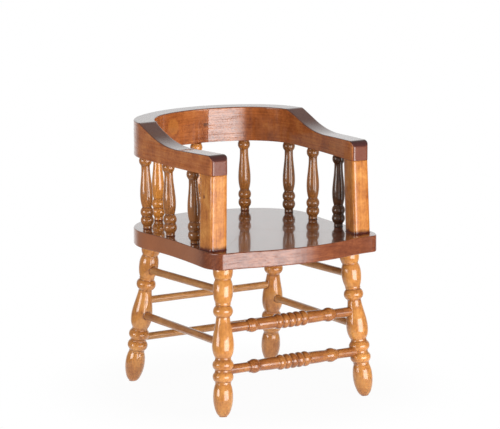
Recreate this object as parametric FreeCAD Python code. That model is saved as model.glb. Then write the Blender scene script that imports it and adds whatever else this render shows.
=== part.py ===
import FreeCAD, Part
import os
from math import atan2, cos, pi, radians, sin, sqrt, tan

# Low-backed wooden captains armchair, millimetres, front towards -Y, floor at Z = 0.
# The seat carries four turned legs below and two posts with nine turned spindles above.
# Posts and spindles carry a bow of three pieces: two arms and the taller rail behind.

V = FreeCAD.Vector
UP = V(0, 0, 1)

# Heights
seat_underside = 400.0
seat_thickness = 45.0
spindle_height = 199.5
arm_thickness = 49.0
rail_height = 95.5

# Seat board, half widths and places along Y
seat_front = -306.0
seat_back = 295.0
ear_x = 240.0
ear_y = -273.0
ear_radius = 80.0
seat_side_front_x = 266.0
waist_x = 257.0
waist_y = -30.0
seat_side_rear_x = 269.0
seat_shoulder_y = 105.0
seat_back_radius = 390.0
front_bow_share = 0.6
ear_edge_radius = 8.0
seat_edge_radius = 3.0

# Bow, seen from above
arm_front = -228.0
arm_front_outer_x = 246.0
arm_front_width = 52.0
arm_side_outer_x = 263.5
arm_side_width = 52.0
outer_shoulder_y = 110.0
inner_shoulder_y = 90.0
bow_back = 306.0
bow_back_width = 54.0
bow_outer_radius = 335.0
bow_inner_radius = 300.0

# Bow, seen from the side
rail_seam = 127.0
ramp_angle = 20.8
ramp_radius = 345.0
arm_nose_radius = 20.0
arm_top_slope = 1.7

# Front posts
post_depth = 57.0
post_splay = 5.5
post_rake = 3.5
post_foot_growth = 1.5
post_edge_radius = 9.0

# Legs, where their axes meet the seat underside and the floor
leg_top_x = 198.5
leg_foot_x = 225.0
front_leg_top_y = -203.5
front_leg_foot_y = -246.0
rear_leg_top_y = 171.0
rear_leg_foot_y = 239.0

# Leg turning: lengths from the seat down, then radii
cup_length = 38.0
bulb_length = 64.1
upper_ring_length = 30.1
middle_ring_length = 26.6
lower_ring_length = 26.6
foot_length = 87.8
leg_collar_length = 5.2
cup_radius = 26.8
cup_neck_radius = 21.0
bulb_radius = 26.8
bulb_neck_radius = 20.2
upper_ring_radius = 26.7
vase_neck_radius = 18.2
vase_radius = 29.3
vase_end_radius = 20.9
middle_ring_radius = 28.5
lower_ring_radius = 28.0
ring_neck_radius = 21.4
foot_neck_radius = 20.9
foot_radius = 26.8
foot_tip_radius = 8.0
collar_swell = 0.9
cup_straight_share = 1 / 3
cup_round_drop = 0.9

# Turned swellings: share of the length, and radius less the fullest one
bulb_shape = ((0.12, -2.6), (0.5, 0.0), (0.82, -2.9))
vase_shape = ((0.16, -8.8), (0.5, -1.8), (0.72, 0.0), (0.9, -3.1))
foot_shape = ((0.14, -2.1), (0.36, 0.0), (0.6, -1.4), (0.8, -6.0), (0.93, -11.6))
spindle_vase_shape = ((0.1, -1.9), (0.27, 0.0), (0.6, -2.6))
rung_body_shape = ((0.5, 0.0),)

# Rungs: heights of their axes at the legs
side_upper_front_z = 331.5
side_upper_rear_z = 321.0
side_lower_z = 193.0
back_upper_z = 232.0
back_lower_z = 125.0
front_upper_z = 232.0
front_lower_z = 122.5
plain_rung_radius = 10.2
rung_end_gap = 5.0

# Turned front rungs, from their middle outwards
rib_count = 5
rib_length = 19.6
rib_radius = 20.6
rib_valley_radius = 16.6
rung_ring_place = 121.0
rung_ring_length = 25.0
rung_ring_radius = 19.3
rung_collar_length = 3.2
rung_collar_radius = 16.2
rung_body_radius = 16.6
rung_body_end_radius = 15.4
rung_neck_radius = 12.8
rung_end_radius = 13.4

# Spindles: how far their feet stand in from the seat's edge, and their heads from the bow's
side_spindle_seat_inset = 29.5
side_spindle_bow_inset = 33.0
side_spindle_ys = (-109.0, 20.0, 144.0)
side_spindle_lean_back = 5.0
back_spindle_x = 139.7
back_spindle_seat_inset = 59.5
back_spindle_bow_inset = 65.5
centre_spindle_seat_inset = 34.0
centre_spindle_bow_inset = 40.0

# Spindle turning: lengths, then radii
spindle_foot_length = 9.5
spindle_bead_length = 24.5
spindle_ball_length = 26.0
spindle_foot_radius = 12.2
spindle_bead_radius = 18.2
spindle_groove_radius = 14.2
spindle_vase_end_radius = 12.6
spindle_vase_radius = 17.5
spindle_neck_radius = 12.0
spindle_ball_radius = 17.4
spindle_ball_top_radius = 11.5

# Hidden joinery
glue_gap = 0.1
socket_end_gap = 1.0
leg_tenon_radius = 12.5
leg_tenon_length = 30.0
spindle_tenon_radius = 7.0
spindle_tenon_length = 16.0
dowel_radius = 5.0
post_dowel_reach = 22.0
post_dowel_spacing = 26.0
rail_dowel_reach = 24.0
rail_dowel_low_z = 24.0
rail_dowel_spacing = 36.0

# Working allowances
trim_margin = 8.0
least_cut = 1.0
same_place = 0.01
far = 1000.0

# Worked-out sizes
seat_top = seat_underside + seat_thickness
bow_underside = seat_top + spindle_height
arm_top = bow_underside + arm_thickness
rail_top = bow_underside + rail_height


def arc_about(x, y, radius, start, end):
    """Arc in plan about (x, y), from one angle to another by the straight way."""
    points = []
    for angle in (start, (start + end) / 2, end):
        points.append(V(x + radius * cos(angle), y + radius * sin(angle), 0))
    return Part.Arc(*points).toShape()


def line(start, end):
    return Part.LineSegment(start, end).toShape()


def mirrored(edges):
    """The same edges on the other side of the chair."""
    return [edge.mirror(V(0, 0, 0), V(1, 0, 0)) for edge in edges]


def plate(edges, z, height):
    """Solid of the given height on a closed outline of edges."""
    wire = Part.Wire(Part.__sortEdges__(edges))
    face = Part.Face(wire)
    face.translate(V(0, 0, z))
    return face.extrude(V(0, 0, height))


def block(low, high):
    return Part.makeBox(high[0] - low[0], high[1] - low[1], high[2] - low[2], V(*low))


def rounded_outline(corners, radius, z):
    """Closed outline through the corners, each one rounded."""
    edges = []
    starts, ends = [], []
    count = len(corners)
    for i in range(count):
        here = V(corners[i][0], corners[i][1], z)
        before = V(corners[i - 1][0], corners[i - 1][1], z) - here
        after = V(corners[(i + 1) % count][0], corners[(i + 1) % count][1], z) - here
        before.normalize()
        after.normalize()
        half_turn = before.getAngle(after) / 2
        reach = radius / tan(half_turn)
        towards = before + after
        towards.normalize()
        mid = here + towards * (radius / sin(half_turn) - radius)
        starts.append(here + before * reach)
        ends.append(here + after * reach)
        edges.append(Part.Arc(starts[-1], mid, ends[-1]).toShape())
    for i in range(count):
        edges.append(line(ends[i - 1], starts[i]))
    return Part.Wire(Part.__sortEdges__(edges))


class Turning:
    """Half outline of a turned piece: radius against the distance along its axis."""

    def __init__(self, start, radius):
        self.at = start
        self.radius = radius
        self.start = V(radius, 0, start)
        self.edges = []

    def place(self, distance, radius):
        return V(radius, 0, self.at + distance)

    def end_at(self, length, radius):
        self.at += length
        self.radius = radius

    def taper(self, length, radius):
        self.edges.append(line(self.place(0, self.radius), self.place(length, radius)))
        self.end_at(length, radius)

    def bead(self, length, peak, end):
        """One round bead, from the present radius over its peak to the end radius."""
        middle = self.place(length / 2, peak)
        arc = Part.Arc(self.place(0, self.radius), middle, self.place(length, end))
        self.edges.append(arc.toShape())
        self.end_at(length, end)

    def sweep(self, length, fullest, shape, end):
        """A smooth swelling through places given by share of the length and radius."""
        points = [self.place(0, self.radius)]
        points += [self.place(length * share, fullest + step) for share, step in shape]
        points.append(self.place(length, end))
        curve = Part.BSplineCurve()
        curve.interpolate(points)
        self.edges.append(curve.toShape())
        self.end_at(length, end)

    def solid(self):
        last = V(self.radius, 0, self.at)
        axis_end = V(0, 0, self.at)
        axis_start = V(0, 0, self.start.z)
        closing = [line(last, axis_end), line(axis_end, axis_start), line(axis_start, self.start)]
        face = Part.Face(Part.Wire(Part.__sortEdges__(self.edges + closing)))
        return face.revolve(V(0, 0, 0), UP, 360)


def laid_along(shape, start, towards):
    """Move a shape made on the Z axis so that it starts at one place and points at another."""
    turn = FreeCAD.Rotation(UP, towards - start)
    shape.Placement = FreeCAD.Placement(start, turn)
    return shape


def rod(start, end, radius, before=0.0, after=0.0):
    """Round bar between two places, lengthened or shortened at either end."""
    direction = end - start
    direction.normalize()
    first = start - direction * before
    length = (end - start).Length + before + after
    return Part.makeCylinder(radius, length, first, direction)


def shoulder(side_x, side_y, back_y, back_radius):
    """Arc that joins a side to the wide back arc: its centre x, radius and end angle."""
    centre_y = back_y - back_radius
    rise = side_y - centre_y
    radius = (back_radius**2 - side_x**2 - rise**2) / (2 * (back_radius - side_x))
    centre_x = side_x - radius
    return centre_x, radius, atan2(rise, centre_x)


def back_half(side_x, side_y, back_y, back_radius):
    """Shoulder and back arcs of one half, from the side round to the middle."""
    centre_x, radius, turn = shoulder(side_x, side_y, back_y, back_radius)
    return [
        arc_about(centre_x, side_y, radius, 0, turn),
        arc_about(0, back_y - back_radius, back_radius, turn, pi / 2),
    ]


def waist_arc_radius(centre_x, centre_y, radius):
    """Radius of the hollow side arc that runs smoothly into a round corner."""
    across = waist_x - centre_x
    along = centre_y - waist_y
    return (across**2 + along**2 - radius**2) / (2 * (radius - across))


def seat_half():
    """Right half of the seat outline, from the middle of the front to the back."""
    bow_depth = ear_y - seat_front
    both_radii = (ear_x**2 + bow_depth**2) / (2 * bow_depth)
    full_radius = front_bow_share * both_radii
    hollow_radius = both_radii - full_radius
    swing = atan2(ear_x, both_radii - bow_depth)
    edges = [
        arc_about(0, seat_front + full_radius, full_radius, -pi / 2, -pi / 2 + swing),
        arc_about(ear_x, ear_y - hollow_radius, hollow_radius, pi / 2 + swing, pi / 2),
    ]

    ear_centre_x = seat_side_front_x - ear_radius
    ear_centre_y = ear_y + sqrt(ear_radius**2 - (ear_x - ear_centre_x) ** 2)
    hollow = waist_arc_radius(ear_centre_x, ear_centre_y, ear_radius)
    ear_turn = atan2(waist_y - ear_centre_y, waist_x + hollow - ear_centre_x)
    ear_start = atan2(ear_y - ear_centre_y, ear_x - ear_centre_x)
    edges.append(arc_about(ear_centre_x, ear_centre_y, ear_radius, ear_start, ear_turn))
    edges.append(arc_about(waist_x + hollow, waist_y, hollow, pi + ear_turn, pi))

    corner_x, corner_radius, turn = shoulder(
        seat_side_rear_x, seat_shoulder_y, seat_back, seat_back_radius
    )
    hollow = waist_arc_radius(corner_x, seat_shoulder_y, corner_radius)
    rear_turn = atan2(waist_y - seat_shoulder_y, waist_x + hollow - corner_x)
    edges.append(arc_about(waist_x + hollow, waist_y, hollow, pi, pi + rear_turn))
    edges.append(arc_about(corner_x, seat_shoulder_y, corner_radius, rear_turn, turn))
    edges.append(
        arc_about(0, seat_back - seat_back_radius, seat_back_radius, turn, pi / 2)
    )
    return edges


def on_ear_edge(edge):
    start, end = edge.Vertexes[0].Point, edge.Vertexes[-1].Point
    upright = abs(start.z - end.z) > seat_thickness / 2
    across, along = abs(start.x) - ear_x, start.y - ear_y
    return upright and abs(across) < same_place and abs(along) < same_place


def on_flat_face_rim(edge):
    return edge.BoundBox.ZLength < same_place


def seat_board():
    right = seat_half()
    board = plate(right + mirrored(right), seat_underside, seat_thickness)
    board = board.makeFillet(ear_edge_radius, [e for e in board.Edges if on_ear_edge(e)])
    rims = [e for e in board.Edges if on_flat_face_rim(e)]
    return board.makeFillet(seat_edge_radius, rims)


def arm_edge_x(y, front_x, side_x, side_y):
    """Half width of one long side of the arm at a place along Y."""
    radius = arm_edge_radius(front_x, side_x, side_y)
    return side_x - radius + sqrt(radius**2 - (side_y - y) ** 2)


def arm_edge_radius(front_x, side_x, side_y):
    return ((side_x - front_x) ** 2 + (side_y - arm_front) ** 2) / (2 * (side_x - front_x))


outer_edge = (arm_front_outer_x, arm_side_outer_x, outer_shoulder_y)
inner_edge = (
    arm_front_outer_x - arm_front_width,
    arm_side_outer_x - arm_side_width,
    inner_shoulder_y,
)


def bow_half_side(edge):
    """Arm side of the bow outline, from the front corner to the shoulder."""
    front_x, side_x, side_y = edge
    radius = arm_edge_radius(*edge)
    start = atan2(arm_front - side_y, front_x - side_x + radius)
    return arc_about(side_x - radius, side_y, radius, start, 0)


def full_bow():
    """The whole bow at the full height of the rail, before the arms are shaped."""
    outer = [bow_half_side(outer_edge)]
    outer += back_half(arm_side_outer_x, outer_shoulder_y, bow_back, bow_outer_radius)
    inner = [bow_half_side(inner_edge)]
    inner += back_half(
        inner_edge[1], inner_shoulder_y, bow_back - bow_back_width, bow_inner_radius
    )
    front = [line(V(inner_edge[0], arm_front, 0), V(outer_edge[0], arm_front, 0))]
    right = outer + inner + front
    bow = plate(right + mirrored(right), bow_underside, rail_height)
    corners = [e for e in bow.Edges if on_arm_front_edge(e)]
    return bow.makeFillet(post_edge_radius, corners)


def on_arm_front_edge(edge):
    box = edge.BoundBox
    return box.ZLength > rail_height / 2 and abs(box.YMax - arm_front) < same_place


def arm_side_shape():
    """Side view of an arm, drawn along Y and as wide as the chair."""
    turn, slope = radians(ramp_angle), radians(arm_top_slope)
    ramp_bottom = arm_top + ramp_radius * (1 - cos(turn))
    ramp_middle_y = rail_seam - (rail_top - ramp_bottom) / tan(turn)
    lowest_y = ramp_middle_y - ramp_radius * sin(turn)

    def at(y, z):
        return V(-far / 2, y, z)

    def on_hollow(angle):
        rise = ramp_radius * (1 - cos(angle))
        return at(lowest_y + ramp_radius * sin(angle), arm_top + rise)

    foot = on_hollow(-slope)
    nose_y = arm_front + arm_nose_radius
    nose_end_y = nose_y + arm_nose_radius * sin(slope)
    nose_end_z = foot.z + (foot.y - nose_end_y) * tan(slope)
    nose_z = nose_end_z - arm_nose_radius * cos(slope)

    def on_nose(angle):
        return at(nose_y - arm_nose_radius * cos(angle), nose_z + arm_nose_radius * sin(angle))

    nose_turn = pi / 2 + slope
    low_front = at(arm_front, bow_underside)
    straight = on_hollow(turn)
    head = at(rail_seam, rail_top)
    low_rear = at(rail_seam, bow_underside)
    edges = [
        line(low_front, on_nose(0)),
        Part.Arc(on_nose(0), on_nose(nose_turn / 2), on_nose(nose_turn)).toShape(),
        line(on_nose(nose_turn), foot),
        Part.Arc(foot, on_hollow((turn - slope) / 2), straight).toShape(),
        line(straight, head),
        line(head, low_rear),
        line(low_rear, low_front),
    ]
    face = Part.Face(Part.Wire(edges))
    return face.extrude(V(far, 0, 0))


def post_corners(foot):
    """Corners of the right post in plan, at its foot or at its top."""
    rear = arm_front + post_depth
    top = [
        (arm_edge_x(arm_front, *inner_edge), arm_front),
        (arm_edge_x(arm_front, *outer_edge), arm_front),
        (arm_edge_x(rear, *outer_edge), rear),
        (arm_edge_x(rear, *inner_edge), rear),
    ]
    if not foot:
        return top
    steps = ((-1, -1), (1, -1), (1, 1), (-1, 1))
    moved = []
    for (x, y), (across, along) in zip(top, steps):
        grown_x = x + post_splay + across * post_foot_growth / 2
        grown_y = y - post_rake + along * post_foot_growth / 2
        moved.append((grown_x, grown_y))
    return moved


def middle_of(corners, z):
    x = sum(corner[0] for corner in corners) / len(corners)
    y = sum(corner[1] for corner in corners) / len(corners)
    return V(x, y, z)


def front_post():
    """Right front post, a slightly tapered bar with rounded edges."""
    foot = rounded_outline(post_corners(True), post_edge_radius, seat_top)
    top = rounded_outline(post_corners(False), post_edge_radius, bow_underside)
    return Part.makeLoft([foot, top], True, True)


def leg_axis(side, front):
    """Places where a leg's axis meets the seat underside and the floor."""
    top_y = front_leg_top_y if front else rear_leg_top_y
    foot_y = front_leg_foot_y if front else rear_leg_foot_y
    top = V(side * leg_top_x, top_y, seat_underside)
    return top, V(side * leg_foot_x, foot_y, 0)


def on_leg(side, front, z):
    """Place on a leg's axis at a height."""
    top, foot = leg_axis(side, front)
    return foot + (top - foot) * (z / seat_underside)


def turned_leg(side, front):
    """One leg: turned below the seat, with a round tenon that goes up into it."""
    top, foot = leg_axis(side, front)
    length = (foot - top).Length
    fixed = cup_length + bulb_length + upper_ring_length + middle_ring_length
    fixed += lower_ring_length + foot_length + 4 * leg_collar_length
    leg = Turning(-trim_margin, cup_radius)
    cup_straight = cup_length * cup_straight_share
    leg.taper(trim_margin + cup_straight, cup_radius)
    leg.bead(cup_length - cup_straight, cup_radius - cup_round_drop, cup_neck_radius)
    leg.sweep(bulb_length, bulb_radius, bulb_shape, bulb_neck_radius)
    leg.bead(leg_collar_length, bulb_neck_radius + collar_swell, vase_neck_radius)
    leg.bead(upper_ring_length, upper_ring_radius, vase_neck_radius)
    leg.sweep(length - fixed, vase_radius, vase_shape, vase_end_radius)
    leg.bead(leg_collar_length, vase_end_radius + collar_swell, ring_neck_radius)
    leg.bead(middle_ring_length, middle_ring_radius, ring_neck_radius)
    leg.bead(leg_collar_length, ring_neck_radius + collar_swell, ring_neck_radius)
    leg.bead(lower_ring_length, lower_ring_radius, foot_neck_radius)
    leg.bead(leg_collar_length, foot_neck_radius + collar_swell, foot_neck_radius)
    leg.sweep(foot_length, foot_radius, foot_shape, foot_tip_radius)
    leg.taper(trim_margin, foot_tip_radius / 2)
    body = laid_along(leg.solid(), top, foot)
    body = body.common(block((-far, -far, 0), (far, far, seat_underside)))
    tenon = rod(top, foot, leg_tenon_radius, leg_tenon_length, trim_margin - length)
    return body.fuse(tenon).removeSplitter()


def turned_spindle(foot, head):
    """One spindle between the seat and the bow, with a round tenon at each end."""
    length = (head - foot).Length
    vase_length = length - spindle_foot_length - 2 * spindle_bead_length - spindle_ball_length
    piece = Turning(-trim_margin, spindle_foot_radius)
    piece.taper(trim_margin + spindle_foot_length, spindle_foot_radius)
    piece.bead(spindle_bead_length, spindle_bead_radius, spindle_groove_radius)
    piece.bead(spindle_bead_length, spindle_bead_radius, spindle_vase_end_radius)
    piece.sweep(vase_length, spindle_vase_radius, spindle_vase_shape, spindle_neck_radius)
    piece.bead(spindle_ball_length, spindle_ball_radius, spindle_ball_top_radius)
    piece.taper(trim_margin, spindle_ball_top_radius)
    body = laid_along(piece.solid(), foot, head)
    body = body.common(block((-far, -far, seat_top), (far, far, bow_underside)))
    tenons = rod(foot, head, spindle_tenon_radius, spindle_tenon_length, spindle_tenon_length)
    return body.fuse(tenons).removeSplitter()


def plain_rung(start, end):
    """Straight round rung whose ends sit in the legs."""
    return rod(start, end, plain_rung_radius, -rung_end_gap, -rung_end_gap)


def turned_rung(start, end):
    """Front rung: five ribs between two rings, narrower at the legs."""
    length = (end - start).Length
    ribs_half = rib_count * rib_length / 2
    ring_half = rung_ring_length / 2 + rung_collar_length
    body_length = rung_ring_place - ring_half - ribs_half
    end_length = length / 2 - rung_ring_place - ring_half - rung_end_gap
    rung = Turning(rung_end_gap, rung_end_radius)
    rung.taper(end_length, rung_neck_radius)
    add_rung_ring(rung, rung_body_end_radius)
    rung.sweep(body_length, rung_body_radius, rung_body_shape, rib_valley_radius)
    for _ in range(rib_count):
        rung.bead(rib_length, rib_radius, rib_valley_radius)
    rung.sweep(body_length, rung_body_radius, rung_body_shape, rung_body_end_radius)
    add_rung_ring(rung, rung_neck_radius)
    rung.taper(end_length, rung_end_radius)
    return laid_along(rung.solid(), start, end)


def add_rung_ring(rung, end_radius):
    """Ring with a small collar on each side."""
    rung.bead(rung_collar_length, rung_collar_radius, rung_body_end_radius)
    rung.bead(rung_ring_length, rung_ring_radius, rung_body_end_radius)
    rung.bead(rung_collar_length, rung_collar_radius, end_radius)


def rung_socket(start, end, radius):
    """Space for both ends of a rung, one tool for all the legs it meets."""
    deeper = socket_end_gap - rung_end_gap
    return rod(start, end, radius + glue_gap, deeper, deeper)


def spindle_places():
    """Name, foot and head of every spindle."""
    places = []
    for side, name in ((-1, "left"), (1, "right")):
        foot_x = side * (waist_x - side_spindle_seat_inset)
        head_x = side * (arm_side_outer_x - side_spindle_bow_inset)
        for y, where in zip(side_spindle_ys, ("front", "middle", "rear")):
            foot = V(foot_x, y, seat_top)
            head = V(head_x, y + side_spindle_lean_back, bow_underside)
            places.append(("spindle_" + name + "_" + where, foot, head))
        foot = V(side * back_spindle_x, seat_back - back_spindle_seat_inset, seat_top)
        head = V(side * back_spindle_x, bow_back - back_spindle_bow_inset, bow_underside)
        places.append(("spindle_back_" + name, foot, head))
    foot = V(0, seat_back - centre_spindle_seat_inset, seat_top)
    head = V(0, bow_back - centre_spindle_bow_inset, bow_underside)
    places.append(("spindle_back_centre", foot, head))
    return places


def rung_places():
    """Name, start, end and whether it is turned, for every rung."""
    places = []
    for side, name in ((-1, "left"), (1, "right")):
        front = on_leg(side, True, side_upper_front_z)
        rear = on_leg(side, False, side_upper_rear_z)
        places.append(("side_rung_upper_" + name, front, rear, False))
        front = on_leg(side, True, side_lower_z)
        rear = on_leg(side, False, side_lower_z)
        places.append(("side_rung_lower_" + name, front, rear, False))
    for where, back_z, front_z in (
        ("upper", back_upper_z, front_upper_z),
        ("lower", back_lower_z, front_lower_z),
    ):
        left, right = on_leg(-1, False, back_z), on_leg(1, False, back_z)
        places.append(("back_rung_" + where, left, right, False))
        left, right = on_leg(-1, True, front_z), on_leg(1, True, front_z)
        places.append(("front_rung_" + where, left, right, True))
    return places


def dowel(middle, direction, reach):
    """Dowel pin about its middle, reaching equally far into both pieces."""
    half = direction * reach
    return rod(middle - half, middle + half, dowel_radius)


def dowel_hole(middle, direction, reach):
    """Space for a dowel pin."""
    half = direction * (reach + socket_end_gap / 2)
    return rod(middle - half, middle + half, dowel_radius + glue_gap)


def cut_where_met(nodes, names, tool):
    """Cut the tool from each named piece that it reaches into."""
    for name in names:
        if nodes[name].common(tool).Volume > least_cut:
            nodes[name] = nodes[name].cut(tool)


def post_dowel_places(side):
    """Middles and directions of the pins at the foot and top of one post."""
    foot = middle_of(post_corners(True), seat_top)
    top = middle_of(post_corners(False), bow_underside)
    direction = top - foot
    direction.normalize()
    places = []
    for middle in (foot, top):
        for along in (-0.5, 0.5):
            place = middle + V(0, along * post_dowel_spacing, 0)
            place.x *= side
            places.append((place, V(side * direction.x, direction.y, direction.z)))
    return places


def rail_dowel_places(side):
    """Middles and directions of the pins between one arm and the rail."""
    x = arm_side_outer_x - arm_side_width / 2
    places = []
    for step in (0, 1):
        z = bow_underside + rail_dowel_low_z + step * rail_dowel_spacing
        places.append((V(side * x, rail_seam, z), V(0, 1, 0)))
    return places


def make_chair():
    """Every piece by name."""
    nodes = {"seat": seat_board()}
    for side, name in ((-1, "left"), (1, "right")):
        nodes["leg_front_" + name] = turned_leg(side, True)
        nodes["leg_rear_" + name] = turned_leg(side, False)

    for name, start, end, turned in rung_places():
        nodes[name] = turned_rung(start, end) if turned else plain_rung(start, end)
        radius = rung_end_radius if turned else plain_rung_radius
        socket = rung_socket(start, end, radius)
        cut_where_met(nodes, [node for node in nodes if node.startswith("leg_")], socket)

    bow = full_bow()
    shape = arm_side_shape()
    nodes["crest_rail"] = bow.common(block((-far, rail_seam, 0), (far, far, far)))
    nodes["arm_left"] = bow.common(shape).common(block((-far, -far, 0), (0, rail_seam, far)))
    nodes["arm_right"] = bow.common(shape).common(block((0, -far, 0), (far, rail_seam, far)))
    nodes["post_right"] = front_post()
    nodes["post_left"] = nodes["post_right"].mirror(V(0, 0, 0), V(1, 0, 0))

    for side in (-1, 1):
        for front in (True, False):
            top, foot = leg_axis(side, front)
            reach = leg_tenon_length + socket_end_gap
            socket = rod(top, foot, leg_tenon_radius + glue_gap, reach, trim_margin)
            nodes["seat"] = nodes["seat"].cut(socket)

    for name, foot, head in spindle_places():
        nodes[name] = turned_spindle(foot, head)
        reach = spindle_tenon_length + socket_end_gap
        socket = rod(foot, head, spindle_tenon_radius + glue_gap, reach, reach)
        cut_where_met(nodes, ("seat", "arm_left", "arm_right", "crest_rail"), socket)

    post_pins, rail_pins = [], []
    for side, name in ((-1, "left"), (1, "right")):
        for middle, direction in post_dowel_places(side):
            post_pins.append(dowel(middle, direction, post_dowel_reach))
            hole = dowel_hole(middle, direction, post_dowel_reach)
            cut_where_met(nodes, ("seat", "post_" + name, "arm_" + name), hole)
        for middle, direction in rail_dowel_places(side):
            rail_pins.append(dowel(middle, direction, rail_dowel_reach))
            hole = dowel_hole(middle, direction, rail_dowel_reach)
            cut_where_met(nodes, ("crest_rail", "arm_" + name), hole)
    nodes["post_dowels"] = Part.makeCompound(post_pins)
    nodes["rail_dowels"] = Part.makeCompound(rail_pins)
    return nodes


chair = make_chair()
os.makedirs("parts", exist_ok=True)
for node, solid in chair.items():
    solid.exportStep("parts/" + node + ".step")
    print(node, len(solid.Solids), round(solid.Volume))
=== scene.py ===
from math import cos, exp, pi, radians, sin, tan

import bmesh
import bpy
from mathutils import Matrix, Vector, noise
from mathutils.bvhtree import BVHTree


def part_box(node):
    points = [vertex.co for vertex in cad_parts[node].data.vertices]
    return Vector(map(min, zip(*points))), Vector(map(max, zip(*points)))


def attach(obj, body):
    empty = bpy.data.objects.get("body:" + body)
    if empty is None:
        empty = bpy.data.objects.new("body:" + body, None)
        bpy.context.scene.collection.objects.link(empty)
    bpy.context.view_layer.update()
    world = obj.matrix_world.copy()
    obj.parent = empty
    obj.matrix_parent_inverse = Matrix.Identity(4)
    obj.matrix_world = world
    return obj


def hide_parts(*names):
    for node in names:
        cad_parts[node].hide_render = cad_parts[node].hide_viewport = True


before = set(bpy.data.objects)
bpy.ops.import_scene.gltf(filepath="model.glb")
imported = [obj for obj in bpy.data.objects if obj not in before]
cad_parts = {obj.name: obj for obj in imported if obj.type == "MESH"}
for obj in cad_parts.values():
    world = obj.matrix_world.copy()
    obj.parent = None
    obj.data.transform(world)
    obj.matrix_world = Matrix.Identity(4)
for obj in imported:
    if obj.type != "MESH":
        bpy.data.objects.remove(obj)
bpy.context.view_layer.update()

# Low-backed captains armchair in thick varnish, metres, front towards -Y, floor at Z = 0.

seat_low, seat_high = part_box("seat")
arm_low, arm_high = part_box("arm_right")
seat_underside, seat_top = seat_low.z, seat_high.z
bow_underside = arm_low.z
bow_front, bow_seam = arm_low.y, arm_high.y

# Turned pieces: where their axes meet the seat, the bow, the floor and each other
leg_top_x, leg_foot_x = 0.1985, 0.225
front_leg_top_y, front_leg_foot_y = -0.2035, -0.246
rear_leg_top_y, rear_leg_foot_y = 0.171, 0.239
side_spindle_x = 0.2275
side_spindle_ys = (-0.109, 0.020, 0.144)
back_spindle_x, back_spindle_y = 0.1397, 0.2355
centre_spindle_y = 0.261
spindle_lean_out, spindle_lean_back = 0.003, 0.005
side_upper_front_z, side_upper_rear_z = 0.3315, 0.321
side_lower_z = 0.193
back_rung_heights = {"upper": 0.232, "lower": 0.125}
front_rung_heights = {"upper": 0.232, "lower": 0.1225}
rung_radius = 0.0105
rung_end_gap = 0.005
leg_tenon = (0.0125, 0.030)
spindle_tenon = (0.007, 0.016)

# Softness of the varnished shapes
groove_softness = 0.0010
groove_reach = 0.0034
groove_depth = 0.0022
bow_edge, bow_low_edge = 0.0030, 0.0012
seat_edge = 0.0032
post_softening = 2.0
hand_sway, sway_length = 0.00018, 0.045
skirt_width, skirt_height = 0.0016, 0.0026
long_wave, short_wave, short_wave_share = 0.04, 0.013, 0.35
flat_wave, edge_wave, bow_wave = 0.00003, 0.00012, 0.0001

# Varnish that gathers, with painted shade where pieces meet: how far it reaches from a seat, a bow, a
# rung's socket or a post's foot
end_pool_and_shade_reach = 0.004
socket_pool_and_shade_reach, socket_pool_and_shade_sway, socket_pool_and_shade_length = 0.003, 0.0015, 0.006
post_pool_and_shade_reach, post_pool_and_shade_sway, post_pool_and_shade_length = 0.011, 0.006, 0.01

# The dark zone behind the noses of the arms
nose_zone_start, nose_zone_end = bow_front + 0.019, bow_front + 0.022


class Shade:
    """A socket of a finish, so that sums on finishes read as sums."""

    def __init__(self, finish, socket):
        self.finish = finish
        self.socket = socket

    def maths(self, operation, first, second=0.0):
        inputs = {0: first, 1: second}
        return self.finish.node("ShaderNodeMath", {"operation": operation}, inputs)

    def __add__(self, other):
        return self.maths("ADD", self, other)

    def __radd__(self, other):
        return self.maths("ADD", other, self)

    def __sub__(self, other):
        return self.maths("SUBTRACT", self, other)

    def __rsub__(self, other):
        return self.maths("SUBTRACT", other, self)

    def __mul__(self, other):
        return self.maths("MULTIPLY", self, other)

    def __rmul__(self, other):
        return self.maths("MULTIPLY", other, self)

    def __truediv__(self, other):
        return self.maths("DIVIDE", self, other)

    def __pow__(self, other):
        return self.maths("POWER", self, other)

    def __neg__(self):
        return self.maths("MULTIPLY", self, -1.0)

    def __abs__(self):
        return self.maths("ABSOLUTE", self)

    def wrapped(self):
        """The part after the decimal point."""
        return self.maths("FRACT", self)

    def between(self, low, high):
        """Smoothly from 0 at low to 1 at high."""
        settings = {"interpolation_type": "SMOOTHSTEP"}
        return self.finish.node("ShaderNodeMapRange", settings, {0: self, 1: low, 2: high})


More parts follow.
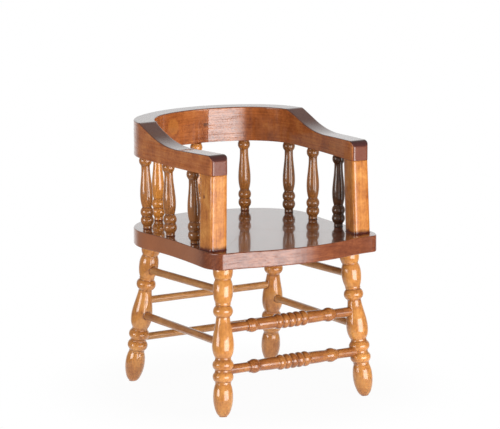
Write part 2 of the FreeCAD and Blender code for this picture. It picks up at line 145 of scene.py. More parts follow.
class Finish:
    """The nodes of one finish, or of the room, while it is made."""

    def __init__(self, owner, output):
        owner.use_nodes = True
        self.owner, self.output = owner, output
        self.tree = owner.node_tree
        self.tree.nodes.clear()

    def node(self, kind, settings=None, inputs=None, output=0):
        made = self.tree.nodes.new(kind)
        for name, value in (settings or {}).items():
            if name == "stops":
                self.set_stops(made.color_ramp, value)
            else:
                setattr(made, name, value)
        for name, value in (inputs or {}).items():
            if isinstance(value, Shade):
                self.tree.links.new(value.socket, made.inputs[name])
            else:
                made.inputs[name].default_value = value
        return Shade(self, made.outputs[output]) if made.outputs else None

    def set_stops(self, ramp, stops):
        while len(ramp.elements) < len(stops):
            ramp.elements.new(0.5)
        for element, (place, colour) in zip(ramp.elements, stops):
            element.position = place
            element.color = colour

    def place(self):
        return self.node("ShaderNodeTexCoord", output="Object")

    def attribute(self, name, output="Fac"):
        return self.node("ShaderNodeAttribute", {"attribute_name": name}, output=output)

    def ray(self, kind):
        """1 for one kind of ray: Camera, Glossy or Transmission."""
        return self.node("ShaderNodeLightPath", output=f"Is {kind} Ray")

    def length(self, vector):
        settings = {"operation": "LENGTH"}
        return self.node("ShaderNodeVectorMath", settings, {0: vector}, "Value")

    def axis(self, vector, letter):
        return self.node("ShaderNodeSeparateXYZ", inputs={0: vector}, output=letter)

    def vector(self, operation, first, second, output=0):
        inputs = {0: first, 1: second}
        return self.node("ShaderNodeVectorMath", {"operation": operation}, inputs, output)

    def clouds(self, vector, scale, detail=2.0, roughness=0.5):
        """Soft noise about 0, with its own scale along each axis."""
        inputs = {"Vector": self.vector("MULTIPLY", vector, scale), "Scale": 1.0}
        inputs.update({"Detail": detail, "Roughness": roughness})
        return self.node("ShaderNodeTexNoise", inputs=inputs) - 0.5

    def spot(self, here, middle, reach, lean=0.0, core=0.35):
        """1 in the middle of an egg-shaped space, and 0 outside it."""
        away = self.vector("SUBTRACT", here, middle)
        turn = {"Vector": away, "Rotation": (0.0, radians(lean), 0.0)}
        away = self.node("ShaderNodeMapping", {"vector_type": "VECTOR"}, turn)
        away = self.length(self.vector("DIVIDE", away, reach))
        return 1 - away.between(core, 1.0)

    def mix(self, first, second, share, blend="MIX"):
        """Colours mixed: the first at 0, the second at 1."""
        settings = {"data_type": "RGBA", "blend_type": blend, "clamp_factor": True}
        inputs = {0: share, 6: first, 7: second}
        return self.node("ShaderNodeMix", settings, inputs, output=2)

    def ramp(self, value, stops):
        return self.node("ShaderNodeValToRGB", {"stops": stops}, {0: value})

    def surface(self, shader):
        self.node(self.output, inputs={0: shader})
        return self.owner


def seen(red, green, blue):
    """A colour as it is seen, in parts of 255, for a shader."""
    return (*(((c / 255 + 0.055) / 1.055) ** 2.4 for c in (red, green, blue)), 1)


def stain(dark, middle, light):
    """Stops of a stain from its dark, usual and light places."""
    return [(0.12, seen(*dark)), (0.5, seen(*middle)), (0.88, seen(*light))]


class Wood:
    """Stained wood under thick varnish, one finish at a time."""

    ring_width = 0.008
    pith = (0.04, 0.03, 0.0)
    grain = 0.5
    ring_contrast = 0.16
    blotch = 0.6
    streak = 0.3
    streak_scale = (300, 300, 6)
    bare_shine = 0.12
    gloss = 0.045
    roughness = 0.3
    sway_scale, ring_sway = (11, 11, 2.2), 0.03
    fibre_scale, fine_scale, pore_scale = (300, 300, 8), (1200, 1200, 40), (2000, 2000, 80)
    cloud_scale, mottle_scale, skin_scale = (26, 26, 26), (150, 150, 150), (420, 420, 420)
    pore_colour = seen(150, 110, 96)
    # Pooled varnish with painted shade in the grooves, at the joints and at the feet
    pool_and_shade_colour = seen(122, 66, 50)
    bump_share, bump_depth = 0.4, 0.0007
    wood_bend, varnish_bend = 1.5, 1.55

    def __init__(self, name, stops, **changes):
        self.name, self.stops = name, stops
        for key, value in changes.items():
            setattr(self, key, value)

    def extra(self, f, here, normal, colour):
        """Marks that only this finish has."""
        return colour

    def cover(self, f, here, normal):
        """How much of the varnish this finish has, from 0 to 1."""
        return 1.0

    def level(self, f, normal):
        """1 where the surface lies flat, 0 where it stands."""
        return f.axis(normal, "Z").between(0.5, 0.9)

    def flat_front(self, f, normal):
        """1 on faces that look straight to the front."""
        return (-f.axis(normal, "Y")).between(0.95, 0.995)

    def make(self):
        f = Finish(bpy.data.materials.new(self.name), "ShaderNodeOutputMaterial")
        here = f.place()
        normal = f.node("ShaderNodeNewGeometry", output="Normal")
        board = f.vector("ADD", f.attribute("fibre", "Vector"), self.pith)

        sway = f.clouds(board, self.sway_scale, detail=3)
        x, y = f.axis(board, "X"), f.axis(board, "Y")
        ring_place = (x * x + y * y) ** 0.5 + sway * self.ring_sway
        late = abs((ring_place / self.ring_width).wrapped() * 2 - 1) ** 3
        fibres = f.clouds(board, self.fibre_scale, detail=3, roughness=0.6)
        fine = f.clouds(board, self.fine_scale, detail=2)
        cloud = f.clouds(here, self.cloud_scale, detail=2)
        mottle = f.clouds(here, self.mottle_scale, detail=2)
        pore = f.clouds(board, self.pore_scale, detail=1).between(0.14, 0.22)

        tone = 0.5 + f.attribute("tone") + cloud * self.blotch + mottle * self.blotch * 0.5
        tone = tone + (fibres * 1.1 + fine * 0.5 - late * self.ring_contrast) * self.grain
        colour = f.ramp(tone, self.stops)
        colour = f.mix(colour, self.pore_colour, pore * 0.6 * self.grain, "MULTIPLY")
        # Pooled varnish with painted shade: darker in the grooves, round the sockets, at the ends and
        # at the posts' feet
        pool = f.attribute("pool")
        colour = f.mix(colour, self.pool_and_shade_colour, pool, "MULTIPLY")
        colour = self.extra(f, here, normal, colour)

        skin = f.clouds(here, self.skin_scale, detail=2)
        height = (fibres * 0.5 + fine * 0.35 - pore * 0.2) * self.grain + skin * 0.35
        bump = {"Strength": self.bump_share, "Distance": self.bump_depth, "Height": height}
        bump = f.node("ShaderNodeBump", inputs=bump)
        rough = self.roughness + fine * 0.2 + pore * 0.12 - pool * 0.1
        broken = f.clouds(board, self.streak_scale, detail=4, roughness=0.7) + skin * 0.4
        upright = 1 - self.level(f, normal)
        varnish = 1 - (1 - broken.between(-0.10, -0.01)) * upright * self.streak
        varnish = varnish * self.cover(f, here, normal)
        inputs = {"Base Color": colour, "Roughness": rough, "Normal": bump}
        inputs.update({"Coat Weight": varnish, "Coat Roughness": self.gloss})
        inputs.update({"IOR": self.wood_bend, "Coat IOR": self.varnish_bend})
        inputs["Specular IOR Level"] = self.bare_shine
        return f.surface(f.node("ShaderNodeBsdfPrincipled", inputs=inputs))


class BowWood(Wood):
    """The bow's wood: darker where it is cut across the grain, painted shade on its upward faces and
    the noses' tops, and the crest's own marks.
    """

    # Painted shade: the first colour darkens the bow's upward faces, and the third is the noses' end
    # grain with painted shade on their rounded tops
    ramp_colour, face_colour, rounding_colour = seen(92, 58, 54), seen(104, 52, 42), seen(70, 36, 36)
    figure_colour, smudge_colour = seen(188, 116, 54), seen(62, 44, 36)
    figure_middle, figure_reach = (-0.090, 0.243, 0.700), (0.024, 0.05, 0.027)
    smudge_middle, smudge_reach = (0.022, 0.2526, 0.695), (0.012, 0.02, 0.007)

    def near_nose(self, f, here):
        return 1 - f.axis(here, "Y").between(nose_zone_start, nose_zone_end)

    def extra(self, f, here, normal, colour):
        forward, upward = -f.axis(normal, "Y"), f.axis(normal, "Z")
        inside = 1 - abs(f.axis(normal, "X")).between(0.6, 0.85)
        nose = self.near_nose(f, here) * inside
        # Painted shade on the bow's upward faces, away from the noses
        ramp = upward.between(0.3, 0.6) * (1 - nose)
        colour = f.mix(colour, self.ramp_colour, ramp * 0.8)
        colour = f.mix(colour, self.face_colour, nose * forward.between(0.2, 0.5) * 0.85)
        # The noses' end grain, with painted shade on their rounded tops
        colour = f.mix(colour, self.rounding_colour, nose * upward.between(0.1, 0.4) * 0.9)
        figure = f.spot(here, self.figure_middle, self.figure_reach, lean=20, core=0.7)
        colour = f.mix(colour, self.figure_colour, figure * 0.7)
        smudge = f.spot(here, self.smudge_middle, self.smudge_reach)
        return f.mix(colour, self.smudge_colour, smudge * 0.6)

    def cover(self, f, here, normal):
        """Rubbed thin on the noses' flat faces."""
        return 1 - 0.7 * self.near_nose(f, here) * self.flat_front(f, normal)


class PostWood(Wood):
    """The posts' wood, with a small knot on the left one."""

    knot_colour, tail_colour = seen(92, 40, 34), seen(150, 78, 40)
    knot_middle, knot_reach = (-0.2484, -0.1955, 0.586), (0.02, 0.005, 0.007)
    tail_middle, tail_reach = (-0.2484, -0.1955, 0.601), (0.02, 0.003, 0.022)

    def extra(self, f, here, normal, colour):
        tail = f.spot(here, self.tail_middle, self.tail_reach)
        colour = f.mix(colour, self.tail_colour, tail * 0.5)
        knot = f.spot(here, self.knot_middle, self.knot_reach)
        return f.mix(colour, self.knot_colour, knot * 0.8)

    def cover(self, f, here, normal):
        """Rubbed thin on the flat fronts, thick on the rounded edges."""
        return 1 - 0.8 * self.flat_front(f, normal)


class SeatWood(Wood):
    """The seat's wood: a painted sheen makes its end-grain sides paler behind the ears."""

    # Painted sheen: a paler colour for the end-grain side faces
    end_grain_sheen_colour = seen(176, 112, 74)

    def extra(self, f, here, normal, colour):
        # Painted sheen on the side faces behind the ears
        side = abs(f.axis(normal, "X")).between(0.55, 0.95)
        behind_ears = f.axis(here, "Y").between(-0.22, -0.15)
        return f.mix(colour, self.end_grain_sheen_colour, side * behind_ears * 0.7)

    def cover(self, f, here, normal):
        """Thinner on the edge than on the top."""
        return 1 - 0.35 * (1 - self.level(f, normal))


honey = stain((150, 86, 38), (202, 134, 66), (226, 164, 90))
light_tan = stain((158, 98, 52), (198, 140, 80), (220, 170, 112))
amber = stain((112, 58, 28), (160, 96, 44), (192, 130, 64))
bow_brown = stain((124, 62, 30), (176, 100, 50), (206, 134, 72))
seat_brown = stain((92, 42, 26), (130, 70, 42), (164, 98, 60))
orange = stain((148, 76, 30), (196, 122, 52), (224, 160, 84))
spindle_brown = [(0.0, seen(66, 48, 40)), (0.2, seen(104, 70, 46)), (0.45, seen(158, 100, 50)),
                 (0.7, seen(196, 126, 60)), (1.0, seen(230, 152, 66))]

finishes = {wood.name: wood.make() for wood in (
    SeatWood("seat_wood", seat_brown, pith=(0.9, 0.31, 0.0), ring_width=0.012, grain=0.6,
             streak=0.6, ring_contrast=0.2, bare_shine=0.2, roughness=0.22),
    PostWood("post_wood", orange, pith=(0.06, 0.03, 0.0), ring_width=0.010, grain=0.45,
             blotch=0.9, streak=0.2),
    BowWood("bow_wood", bow_brown, pith=(0.05, -0.9, 0.0), ring_width=0.010, grain=0.5,
            streak=0.75, ring_contrast=0.15, blotch=0.8),
    Wood("leg_wood", honey, grain=0.25, blotch=0.9, streak=0.2),
    Wood("turned_rung_wood", amber, grain=0.35, blotch=0.8, gloss=0.03),
    Wood("rung_wood", light_tan, grain=0.5, streak=0.9, roughness=0.38, gloss=0.14),
    Wood("spindle_wood", spindle_brown, grain=0.15, blotch=0.4, streak=0.1),
    Wood("dowel_wood", honey, gloss=0.3),
)}


def measuring_tree(*names):
    """The surfaces of CAD nodes, to measure against."""
    corners, faces = [], []
    for name in names:
        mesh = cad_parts[name].data
        first = len(corners)
        corners += [v.co.copy() for v in mesh.vertices]
        faces += [[first + i for i in face.vertices] for face in mesh.polygons]
    return BVHTree.FromPolygons(corners, faces)


def softened(values, reach, closed=False):
    """Values smoothed along their row, or round it; reach is counted in steps."""
    span = int(reach * 3) + 1
    weights = [exp(-0.5 * (k / reach) ** 2) for k in range(-span, span + 1)]
    share = 1 / sum(weights)
    last = len(values) - 1
    result = []
    for i in range(len(values)):
        total = values[i] * 0
        for k, weight in zip(range(-span, span + 1), weights):
            j = (i + k) % (last + 1) if closed else min(max(i + k, 0), last)
            total = total + values[j] * (weight * share)
        result.append(total)
    return result


class Spot:
    """One corner of a mesh: its place, its place in the board, its stain, and its pooled varnish with
    painted shade.
    """

    def __init__(self, point, fibre, tone=0.0, pool=0.0):
        self.point, self.fibre, self.tone, self.pool = point, fibre, tone, pool


def skinned(name, rows, normals=None):
    """A closed smooth mesh over rows of spots, with flat ends."""
    work = bmesh.new()
    pool = work.verts.layers.float.new("pool")
    tone = work.verts.layers.float.new("tone")
    fibre = work.verts.layers.float_vector.new("fibre")
    rings = []
    for row in rows:
        ring = []
        for spot in row:
            made = work.verts.new(spot.point)
            made[pool], made[tone], made[fibre] = spot.pool, spot.tone, spot.fibre
            ring.append(made)
        rings.append(ring)
    size = len(rings[0])
    for low, high in zip(rings, rings[1:]):
        for i in range(size):
            j = (i + 1) % size
            work.faces.new((low[i], low[j], high[j], high[i])).smooth = True
    for end in (rings[0], rings[-1]):
        work.faces.new(end)
    bmesh.ops.recalc_face_normals(work, faces=work.faces)
    mesh = bpy.data.meshes.new(name)
    work.to_mesh(mesh)
    work.free()
    if normals:
        known = [normal for row in normals for normal in row]
        corners = []
        for face in mesh.polygons:
            for vertex in face.vertices:
                corners.append(known[vertex] if len(face.vertices) == 4 else face.normal)
        mesh.normals_split_custom_set(corners)
    return mesh


def skin_normals(rows):
    """Smooth normals for rows of spots, as if they were one skin."""
    mesh = skinned("measure", rows)
    work = bmesh.new()
    work.from_mesh(mesh)
    bpy.data.meshes.remove(mesh)
    ends = [face for face in work.faces if len(face.verts) > 4]
    bmesh.ops.delete(work, geom=ends, context="FACES_ONLY")
    work.normal_update()
    work.verts.ensure_lookup_table()
    size = len(rows[0])
    normals = [[work.verts[k * size + i].normal.copy() for i in range(size)]
               for k in range(len(rows))]
    work.free()
    return normals


def waved(point, normal, amount):
    """A point on a hand-sanded surface: never above the flat one."""
    lowest = 1.2
    wave = noise.noise(point / long_wave) + short_wave_share * noise.noise(point / short_wave)
    return point + normal * (amount * (wave - lowest))


def place_piece(name, mesh, slot, *nodes):
    """A finished mesh as a piece of the chair, in place of its CAD nodes."""
    piece = bpy.data.objects.new(name, mesh)
    bpy.context.scene.collection.objects.link(piece)
    mesh.materials.append(finishes[slot])
    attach(piece, "root")
    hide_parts(*nodes)


class TurnedPiece:
    """A turned piece, measured from its CAD node and made again with soft grooves."""

    def __init__(self, node, start, end, step, sides, seed, tone=0.0):
        self.node, self.seed, self.sides, self.tone = node, seed, sides, tone
        self.start, self.end = Vector(start), Vector(end)
        self.start_plane = self.end_plane = None
        self.end_margin = 0.004
        self.joints = ()
        self.tenon = None
        self.length = (self.end - self.start).length
        self.along = (self.end - self.start).normalized()
        helper = Vector((0, 1, 0)) if abs(self.along.y) < 0.8 else Vector((1, 0, 0))
        self.side_x = self.along.cross(helper).normalized()
        self.side_y = self.along.cross(self.side_x)
        self.count = int(self.length / step)
        self.step = self.length / self.count

    def outward(self, angle):
        return self.side_x * cos(angle) + self.side_y * sin(angle)

    def measure(self):
        """Radius at every step, the widest over several directions, so sockets don't show."""
        tree = measuring_tree(self.node)
        reach, looks, first_look = 0.05, 7, 0.2
        start_margin = 0.004
        radii = []
        for k in range(self.count + 1):
            place = self.start + self.along * (k * self.step)
            widest = 0.0
            for look in range(looks):
                out = self.outward(look * 2 * pi / looks + first_look)
                hit = tree.ray_cast(place + out * reach, -out, reach)
                if hit[0] is not None:
                    widest = max(widest, reach - hit[3])
            radii.append(widest)
        first = int(start_margin / self.step) + 1
        last = int(self.end_margin / self.step) + 1
        radii[:first] = [radii[first]] * first
        radii[-last:] = [radii[-1 - last]] * last
        self.radii = softened(radii, groove_softness / self.step)
        wide = softened(radii, groove_reach / self.step)
        self.grooves = [min(max((w - r) / groove_depth, 0), 1) for w, r in zip(wide, self.radii)]

    def spot(self, point, pool):
        local = point - self.start
        fibre = (local.dot(self.side_x), local.dot(self.side_y),
                 local.dot(self.along) + self.seed * 1.7)
        return Spot(point, fibre, self.tone, pool)

    def corner(self, k, angle):
        """One corner of the turned surface, cut level at the seat and the bow."""
        along = k * self.step
        out = self.outward(angle)
        spot = self.start + self.along * along
        wander = spot / sway_length + out * 0.4 + Vector((self.seed * 7.3, 0, 0))
        radius = self.radii[k] + hand_sway * noise.noise(wander)
        ends = ((self.start_plane, self.start, along), (self.end_plane, self.end, self.length - along))
        for plane, end, distance in ends:
            if plane is not None and distance < skirt_height:
                radius += skirt_width * (1 - distance / skirt_height) ** 2
        point = spot + out * radius
        bend_zone = 0.008
        for plane, end, distance in ends:
            if plane is not None and distance < bend_zone:
                level = (plane - end.z - (point.z - spot.z)) / self.along.z
                point = point + self.along * level * (1 - distance / bend_zone)
        # Painted shade with pooled varnish: darker in the grooves, round the sockets and near the seat
        # and the bow
        pool = self.grooves[k]
        for start, end, reach in self.joints:
            pool = max(pool, joint_pool_and_shade(point, start, end, reach))
        for plane, end, distance in ends:
            if plane is not None and distance < end_pool_and_shade_reach:
                pool = max(pool, 1 - distance / end_pool_and_shade_reach)
        return self.spot(point, pool)

    def tenon_ring(self, angles, plane, end, reach):
        """Ring of a tenon: at its shoulder when reach is 0, or at its far end."""
        ring = []
        for angle in angles:
            out = self.outward(angle) * self.tenon[0]
            slide = reach or (plane - end.z - out.z) / self.along.z
            ring.append(self.spot(end + out + self.along * slide, 0.0))
        return ring

    def mesh(self):
        angles = [2 * pi * i / self.sides for i in range(self.sides)]
        rows = [[self.corner(k, angle) for angle in angles] for k in range(self.count + 1)]
        if self.start_plane is not None:
            rows.insert(0, self.tenon_ring(angles, self.start_plane, self.start, 0))
            rows.insert(0, self.tenon_ring(angles, self.start_plane, self.start, -self.tenon[1]))
        if self.end_plane is not None:
            rows.append(self.tenon_ring(angles, self.end_plane, self.end, 0))
            rows.append(self.tenon_ring(angles, self.end_plane, self.end, self.tenon[1]))
        for row in rows:
            for spot in row:
                spot.point.z = max(spot.point.z, 0)
        mesh = skinned(self.node, rows)
        mesh.set_sharp_from_angle(angle=radians(55))
        return mesh

    def make(self, slot):
        self.measure()
        place_piece(self.node + "_turned", self.mesh(), slot, self.node)


def joint_pool_and_shade(point, start, end, radius):
    """Dark varnish with painted shade round a socket: 1 at the rung's surface, 0 a little way out."""
    line = end - start
    share = min(max((point - start).dot(line) / line.length_squared, 0), 1)
    distance = (point - start - line * share).length - radius
    ragged = socket_pool_and_shade_reach + socket_pool_and_shade_sway * noise.noise(point / socket_pool_and_shade_length)
    return 0.9 * min(max(1 - distance / ragged, 0), 1) ** 1.5


def leg_axis(side, front):
    top_y = front_leg_top_y if front else rear_leg_top_y
    foot_y = front_leg_foot_y if front else rear_leg_foot_y
    return Vector((side * leg_top_x, top_y, seat_underside)), Vector((side * leg_foot_x, foot_y, 0))


def on_leg(side, front, height):
    top, foot = leg_axis(side, front)
    return foot + (top - foot) * (height / seat_underside)


def rung_places():
    """Name, start, end and slot of every rung."""
    places = []
    for side, name in ((-1, "left"), (1, "right")):
        places.append(("side_rung_upper_" + name, on_leg(side, True, side_upper_front_z),
                       on_leg(side, False, side_upper_rear_z), "rung_wood"))
        places.append(("side_rung_lower_" + name, on_leg(side, True, side_lower_z),
                       on_leg(side, False, side_lower_z), "rung_wood"))
    for where, height in back_rung_heights.items():
        places.append(("back_rung_" + where, on_leg(-1, False, height),
                       on_leg(1, False, height), "rung_wood"))
    for where, height in front_rung_heights.items():
        places.append(("front_rung_" + where, on_leg(-1, True, height),
                       on_leg(1, True, height), "turned_rung_wood"))
    return places


def make_legs():
    joints = [(start, end, rung_radius) for _, start, end, _ in rung_places()]
    step, sides = 0.0015, 56
    for side, name in ((-1, "left"), (1, "right")):
        for front, where in ((True, "front"), (False, "rear")):
            top, foot = leg_axis(side, front)
            seed = 3 + side + 2.5 * front
            leg = TurnedPiece(f"leg_{where}_{name}", top, foot, step, sides, seed)
            leg.start_plane, leg.tenon = seat_underside, leg_tenon
            leg.end_margin = 0.0005
            leg.joints = joints
            leg.make("leg_wood")


def make_rungs():
    darker = {"side_rung_lower_left": -0.2, "side_rung_upper_left": -0.08}
    for number, (node, start, end, slot) in enumerate(rung_places()):
        inset = (end - start).normalized() * rung_end_gap
        fine = slot == "turned_rung_wood"
        step, sides = (0.0011, 44) if fine else (0.006, 32)
        seed, tone = 11 + number * 1.3, darker.get(node, 0)
        TurnedPiece(node, start + inset, end - inset, step, sides, seed, tone).make(slot)


def make_spindles():
    rise = Vector((0, spindle_lean_back, bow_underside - seat_top))
    tones = {"left_front": -0.1, "left_middle": 0.0, "left_rear": 0.1, "back_left": 0.4,
             "back_centre": 0.3, "back_right": 0.04, "right_rear": -0.2,
             "right_middle": -0.08, "right_front": -0.37}
    places = []
    for side, name in ((-1, "left"), (1, "right")):
        lean = rise + Vector((side * spindle_lean_out, 0, 0))
        for y, where in zip(side_spindle_ys, ("front", "middle", "rear")):
            places.append((f"{name}_{where}", Vector((side * side_spindle_x, y, seat_top)), lean))
        places.append(("back_" + name, Vector((side * back_spindle_x, back_spindle_y, seat_top)), rise))
    places.append(("back_centre", Vector((0, centre_spindle_y, seat_top)), rise))
    step, sides = 0.001, 40
    for number, (name, foot, lean) in enumerate(places):
        seed = 23 + number * 1.9
        piece = TurnedPiece("spindle_" + name, foot, foot + lean, step, sides, seed, tones[name])
        piece.start_plane, piece.end_plane = seat_top, bow_underside
        piece.tenon = spindle_tenon
        piece.make("spindle_wood")


def rounded_section(width, low, inner_top, outer_top):
    """Corners of the bow's section as (across, height), from the inner low edge round the outside."""
    steps = 4
    corners = (
        (0.0, low, bow_low_edge, 1, 1, 1.0), (width, low, bow_low_edge, -1, 1, 1.5),
        (width, outer_top, bow_edge, -1, -1, 0.0), (0.0, inner_top, bow_edge, 1, -1, 0.5),
    )
    divisions = (7, 9, 8, 9)

    def on_corner(corner, quarter):
        """A place on a rounded corner: 0 at its start, 1 at its end."""
        x, z, edge, right, up, turn = corner
        edge = min(edge, width * 0.2)
        angle = pi * (turn + 0.5 * quarter)
        return x + right * edge + edge * cos(angle), z + up * edge + edge * sin(angle)

    path = []
    for index, corner in enumerate(corners):
        path += [on_corner(corner, k / steps) for k in range(steps + 1)]
        (x, z), (end_x, end_z) = path[-1], on_corner(corners[(index + 1) % 4], 0)
        for k in range(divisions[index] + 1):
            share = min(max((k - 0.5) / (divisions[index] - 1), 0.02), 0.98)
            path.append((x + (end_x - x) * share, z + (end_z - z) * share))
    return path


def bow_station(tree, hub, towards):
    """Inner and outer place and the two top heights of the bow, on a line out from a hub."""
    look_height = 0.012
    start = Vector((hub[0], hub[1], bow_underside + look_height))
    inner = tree.ray_cast(start, towards)[0]
    outer = tree.ray_cast(start + towards, -towards)[0]
    tops = []
    for place, step in ((inner, 0.0004), (outer, -0.0004)):
        above = place + towards * step
        hit = tree.ray_cast(Vector((above.x, above.y + 0.0001, 1)), Vector((0, 0, -1)))
        tops.append(hit[0].z)
    return inner, outer, tops


def bow_stations():
    """Stations from the left arm's nose round the rail to the right arm's nose, and its seams."""
    tree = measuring_tree("arm_left", "crest_rail", "arm_right")
    nose = [0.00003, 0.0004, 0.001, 0.0018, 0.0028, 0.004, 0.006, 0.0085, 0.0115, 0.015,
            0.0175, 0.0198, 0.0225]
    seam_gap, arm_steps = 0.0002, 60
    span = bow_seam - bow_front - seam_gap - nose[-1]
    arm = [nose[-1] + span * k / arm_steps for k in range(1, arm_steps + 1)]
    ys = [bow_front + distance for distance in nose + arm]
    left = [bow_station(tree, (0, y), Vector((-1, 0, 0))) for y in ys]
    right = [bow_station(tree, (0, y), Vector((1, 0, 0))) for y in ys]
    steps = 150
    rail = [bow_station(tree, (0, bow_seam), Vector((-cos(pi * k / steps), sin(pi * k / steps), 0)))
            for k in range(1, steps)]
    return left + rail + right[::-1], len(left) - 1, len(left) + len(rail)


def make_bow():
    stations, seam_in, seam_out = bow_stations()
    rows = []
    arm_tone, rail_tone = 0.06, -0.08
    tone_start, tone_length = 0.06, 0.12
    along = 0.0
    before = None
    for inner, outer, tops in stations:
        middle = (inner + outer) / 2
        along += (middle - before).length if before else 0
        before = middle
        across = Vector((outer.x - inner.x, outer.y - inner.y, 0))
        width = across.length
        across.normalize()
        rail_share = min(max((middle.y - tone_start) / tone_length, 0), 1)
        tone = arm_tone + (rail_tone - arm_tone) * rail_share
        row = []
        for x, z in rounded_section(width, bow_underside, *tops):
            point = Vector((inner.x, inner.y, 0)) + across * x + Vector((0, 0, z))
            row.append(Spot(point, (x, z, along), tone))
        rows.append(row)
    normals = skin_normals(rows)
    for row, row_normals in zip(rows, normals):
        for spot, normal in zip(row, row_normals):
            spot.point = waved(spot.point, normal, bow_wave)
    normals = skin_normals(rows)
    parts = {"arm_left": (0, seam_in), "crest_rail": (seam_in, seam_out),
             "arm_right": (seam_out, len(rows) - 1)}
    for node, (first, last) in parts.items():
        mesh = skinned(node, rows[first:last + 1], normals[first:last + 1])
        place_piece(node + "_shaped", mesh, "bow_wood", node)


def make_seat():
    tree = measuring_tree("seat")
    count = 600
    middle_z = (seat_underside + seat_top) / 2
    outline = []
    for i in range(count):
        out = Vector((cos(2 * pi * i / count), sin(2 * pi * i / count), 0))
        outline.append(tree.ray_cast(out + Vector((0, 0, middle_z)), -out)[0])
    outline = softened(outline, 1.0, closed=True)
    inward = []
    for i in range(count):
        run = outline[(i + 1) % count] - outline[i - 1]
        inward.append(Vector((-run.y, run.x, 0)).normalized())
    e, steps = seat_edge, 5
    lower = [(e - e * sin(pi / 2 * k / steps), seat_underside + e - e * cos(pi / 2 * k / steps))
             for k in range(steps + 1)]
    upper = [(e - e * cos(pi / 2 * k / steps), seat_top - e + e * sin(pi / 2 * k / steps))
             for k in range(steps + 1)]
    side = [(0, seat_underside + e + (seat_top - seat_underside - 2 * e) * s)
            for s in (0.02, 0.15, 0.3, 0.5, 0.7, 0.85, 0.98)]
    insets = (0.004, 0.007, 0.014, 0.025)
    profile = [(d, seat_underside) for d in insets[::-1]] + lower + side + upper
    profile += [(d, seat_top) for d in insets]
    shares = (0.12, 0.25, 0.4, 0.55, 0.7, 0.85, 0.96)

    def row(inset, z, share):
        made = []
        for edge, turn in zip(outline, inward):
            point = Vector((edge.x, edge.y, 0)) + turn * inset
            point = point * (1 - share)
            point.z = z
            made.append(Spot(point, (point.y, point.z, point.x)))
        return made

    rows = [row(insets[-1], seat_underside, s) for s in shares[::-1]]
    rows += [row(inset, z, 0) for inset, z in profile]
    rows += [row(insets[-1], seat_top, s) for s in shares]
    for made, normals in zip(rows, skin_normals(rows)):
        for spot, normal in zip(made, normals):
            amount = edge_wave if abs(normal.z) < 0.5 else flat_wave
            spot.point = waved(spot.point, normal, amount)
    place_piece("seat_shaped", skinned("seat", rows), "seat_wood", "seat")


def plan_middle(mesh, z):
    """Middle, in plan, of a mesh's corners at one height."""
    near = [v.co for v in mesh.vertices if abs(v.co.z - z) < 0.001]
    xs, ys = [p.x for p in near], [p.y for p in near]
    return Vector(((min(xs) + max(xs)) / 2, (min(ys) + max(ys)) / 2, z))


def make_posts():
    sides, count, crowding = 144, 70, 1.3
    clear_of_ends, look_distance, along_board = 0.0004, 0.08, 9
    for name in ("left", "right"):
        node = "post_" + name
        tree = measuring_tree(node)
        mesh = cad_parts[node].data
        foot, top = plan_middle(mesh, seat_top), plan_middle(mesh, bow_underside)
        rows = []
        for k in range(count + 1):
            share = (k / count) ** crowding
            rise = (bow_underside - seat_top) * share
            z = seat_top + rise
            look_z = min(max(z, seat_top + clear_of_ends), bow_underside - clear_of_ends)
            middle = foot + (top - foot) * share
            points = []
            for i in range(sides):
                out = Vector((cos(2 * pi * i / sides), sin(2 * pi * i / sides), 0))
                start = Vector((middle.x, middle.y, look_z)) + out * look_distance
                points.append(tree.ray_cast(start, -out)[0])
            row = []
            skirt = skirt_width * max(1 - rise / skirt_height, 0) ** 2
            for point in softened(points, post_softening, closed=True):
                out = Vector((point.x - middle.x, point.y - middle.y, 0))
                outward = out.normalized()
                point = waved(point, outward, edge_wave) + outward * skirt
                point.z = z
                # Painted shade with pooled varnish, darker at the post's foot
                ragged = post_pool_and_shade_reach + post_pool_and_shade_sway * noise.noise(point / post_pool_and_shade_length)
                pool = min(max(1.3 - 1.3 * rise / ragged, 0), 1)
                row.append(Spot(point, (out.x, out.y, z + middle.x * along_board), 0.0, pool))
            rows.append(row)
        place_piece(node + "_shaped", skinned(node, rows), "post_wood", node)


def dress_dowels():
    """The hidden pins keep their CAD shapes."""
    for node in ("post_dowels", "rail_dowels"):
        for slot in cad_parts[node].material_slots:
            slot.material = finishes["dowel_wood"]


def make_camera():
    """The photograph's viewpoint: turned left of the front and a little above the seat."""
    azimuth, elevation, roll = radians(-31.651), radians(10.611), radians(-0.102)
    place = Vector((-4.4907, -7.3032, 2.0894))
    focal_pixels, picture_width, sensor = 3208.24, 500, 36.0
    back = Vector((sin(azimuth) * cos(elevation), -cos(azimuth) * cos(elevation), sin(elevation)))
    right = Vector((cos(azimuth), sin(azimuth), 0))
    up = back.cross(right)
    turned_right = right * cos(roll) + up * sin(roll)
    turned_up = up * cos(roll) - right * sin(roll)
    data = bpy.data.cameras.new("camera")
    data.sensor_width = sensor
    data.lens = focal_pixels * sensor / picture_width
    data.clip_start, data.clip_end = 0.1, 100
    camera = bpy.data.objects.new("camera", data)
    bpy.context.scene.collection.objects.link(camera)
    basis = Matrix((turned_right, turned_up, back)).transposed().to_4x4()
    camera.matrix_world = Matrix.Translation(place) @ basis
    bpy.context.scene.camera = camera


def facing(azimuth):
    """Level direction at an angle from the chair's front, positive to its right."""
    return Vector((sin(radians(azimuth)), -cos(radians(azimuth)), 0))


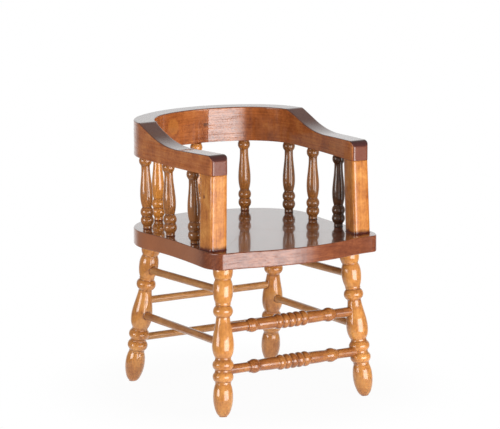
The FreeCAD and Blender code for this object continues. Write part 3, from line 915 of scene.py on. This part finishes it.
def soft_box(name, azimuth, distance, half_angle, low, high, brightness):
    """An upright lamp panel that faces the chair, as wide as its half angle seen from there."""
    middle = Vector((0, 0, (low + high) / 2))
    width = 2 * distance * tan(radians(half_angle))
    data = bpy.data.lights.new(name, "AREA")
    data.shape = "RECTANGLE"
    data.size, data.size_y = width, high - low
    data.energy = brightness * width * (high - low) * pi
    lamp = bpy.data.objects.new(name, data)
    bpy.context.scene.collection.objects.link(lamp)
    lamp.location = facing(azimuth) * distance + middle
    lamp.rotation_mode = "QUATERNION"
    lamp.rotation_quaternion = (middle - lamp.location).to_track_quat("-Z", "Y")
    lamp.visible_camera = False


def make_windows():
    """Two windows in front, each of several lamp panels, one behind the other."""
    nearest, apart = 4.6, 0.1
    right_azimuth, right_low, right_high = 6.5, -1.3, 1.5
    panels = ((33, 0.5), (30, 0.9), (27, 1.4), (24, 1.8), (21, 2.0), (17, 1.8))
    for step, (half_angle, brightness) in enumerate(panels):
        distance = nearest + step * apart
        soft_box("right_window", right_azimuth, distance, half_angle, right_low, right_high, brightness)
    left_azimuth, left_half_angle, left_high, left_brightness = -87, 15, 1.6, 2.8
    left_rise = 0.08
    for step in range(3):
        distance, half_angle, low = nearest + step * apart, left_half_angle - step, step * left_rise
        soft_box("left_window", left_azimuth, distance, half_angle, low, left_high, left_brightness)


def make_room():
    """A dim room with a white backdrop behind the chair."""
    room_colour, room_light, backdrop_azimuth = (1.0, 0.97, 0.94, 1), 0.28, 148.35
    world = bpy.data.worlds.new("studio")
    bpy.context.scene.world = world
    f = Finish(world, "ShaderNodeOutputWorld")
    look = f.node("ShaderNodeTexCoord", output="Generated")
    behind = f.vector("DOT_PRODUCT", look, facing(backdrop_azimuth), output="Value")
    backdrop = behind.between(0.6, 0.9) * (1 - f.axis(look, "Z").between(0.42, 0.78))
    white_share = f.ray("Camera") + (f.ray("Glossy") + f.ray("Transmission")) * backdrop
    room = f.node("ShaderNodeBackground", inputs={0: room_colour, 1: room_light})
    white = f.node("ShaderNodeBackground", inputs={0: (1, 1, 1, 1), 1: 1.0})
    f.surface(f.node("ShaderNodeMixShader", inputs={0: white_share, 1: room, 2: white}))


def make_floor():
    """A pale floor that fades into the white background."""
    floor_radius, fade_start, fade_end, shadow_share = 0.66, 0.3, 0.64, 0.04
    work = bmesh.new()
    bmesh.ops.create_circle(work, cap_ends=True, segments=96, radius=floor_radius)
    mesh = bpy.data.meshes.new("floor")
    work.to_mesh(mesh)
    work.free()
    floor = bpy.data.objects.new("floor", mesh)
    bpy.context.scene.collection.objects.link(floor)
    f = Finish(bpy.data.materials.new("pale_floor"), "ShaderNodeOutputMaterial")
    fade = f.length(f.place()).between(fade_start, fade_end)
    white_share = f.ray("Camera") + f.ray("Glossy") + f.ray("Transmission")
    white_share = white_share * (1 - shadow_share + shadow_share * fade)
    matt = f.node("ShaderNodeBsdfDiffuse", inputs={0: (0.9, 0.9, 0.9, 1)})
    glow = f.node("ShaderNodeEmission", inputs={0: (1, 1, 1, 1)})
    shader = f.node("ShaderNodeMixShader", inputs={0: white_share, 1: matt, 2: glow})
    mesh.materials.append(f.surface(shader))


bpy.context.scene.view_settings.view_transform = "Standard"
make_camera()
make_windows()
make_room()
make_floor()
make_legs()
make_rungs()
make_spindles()
make_bow()
make_seat()
make_posts()
dress_dowels()
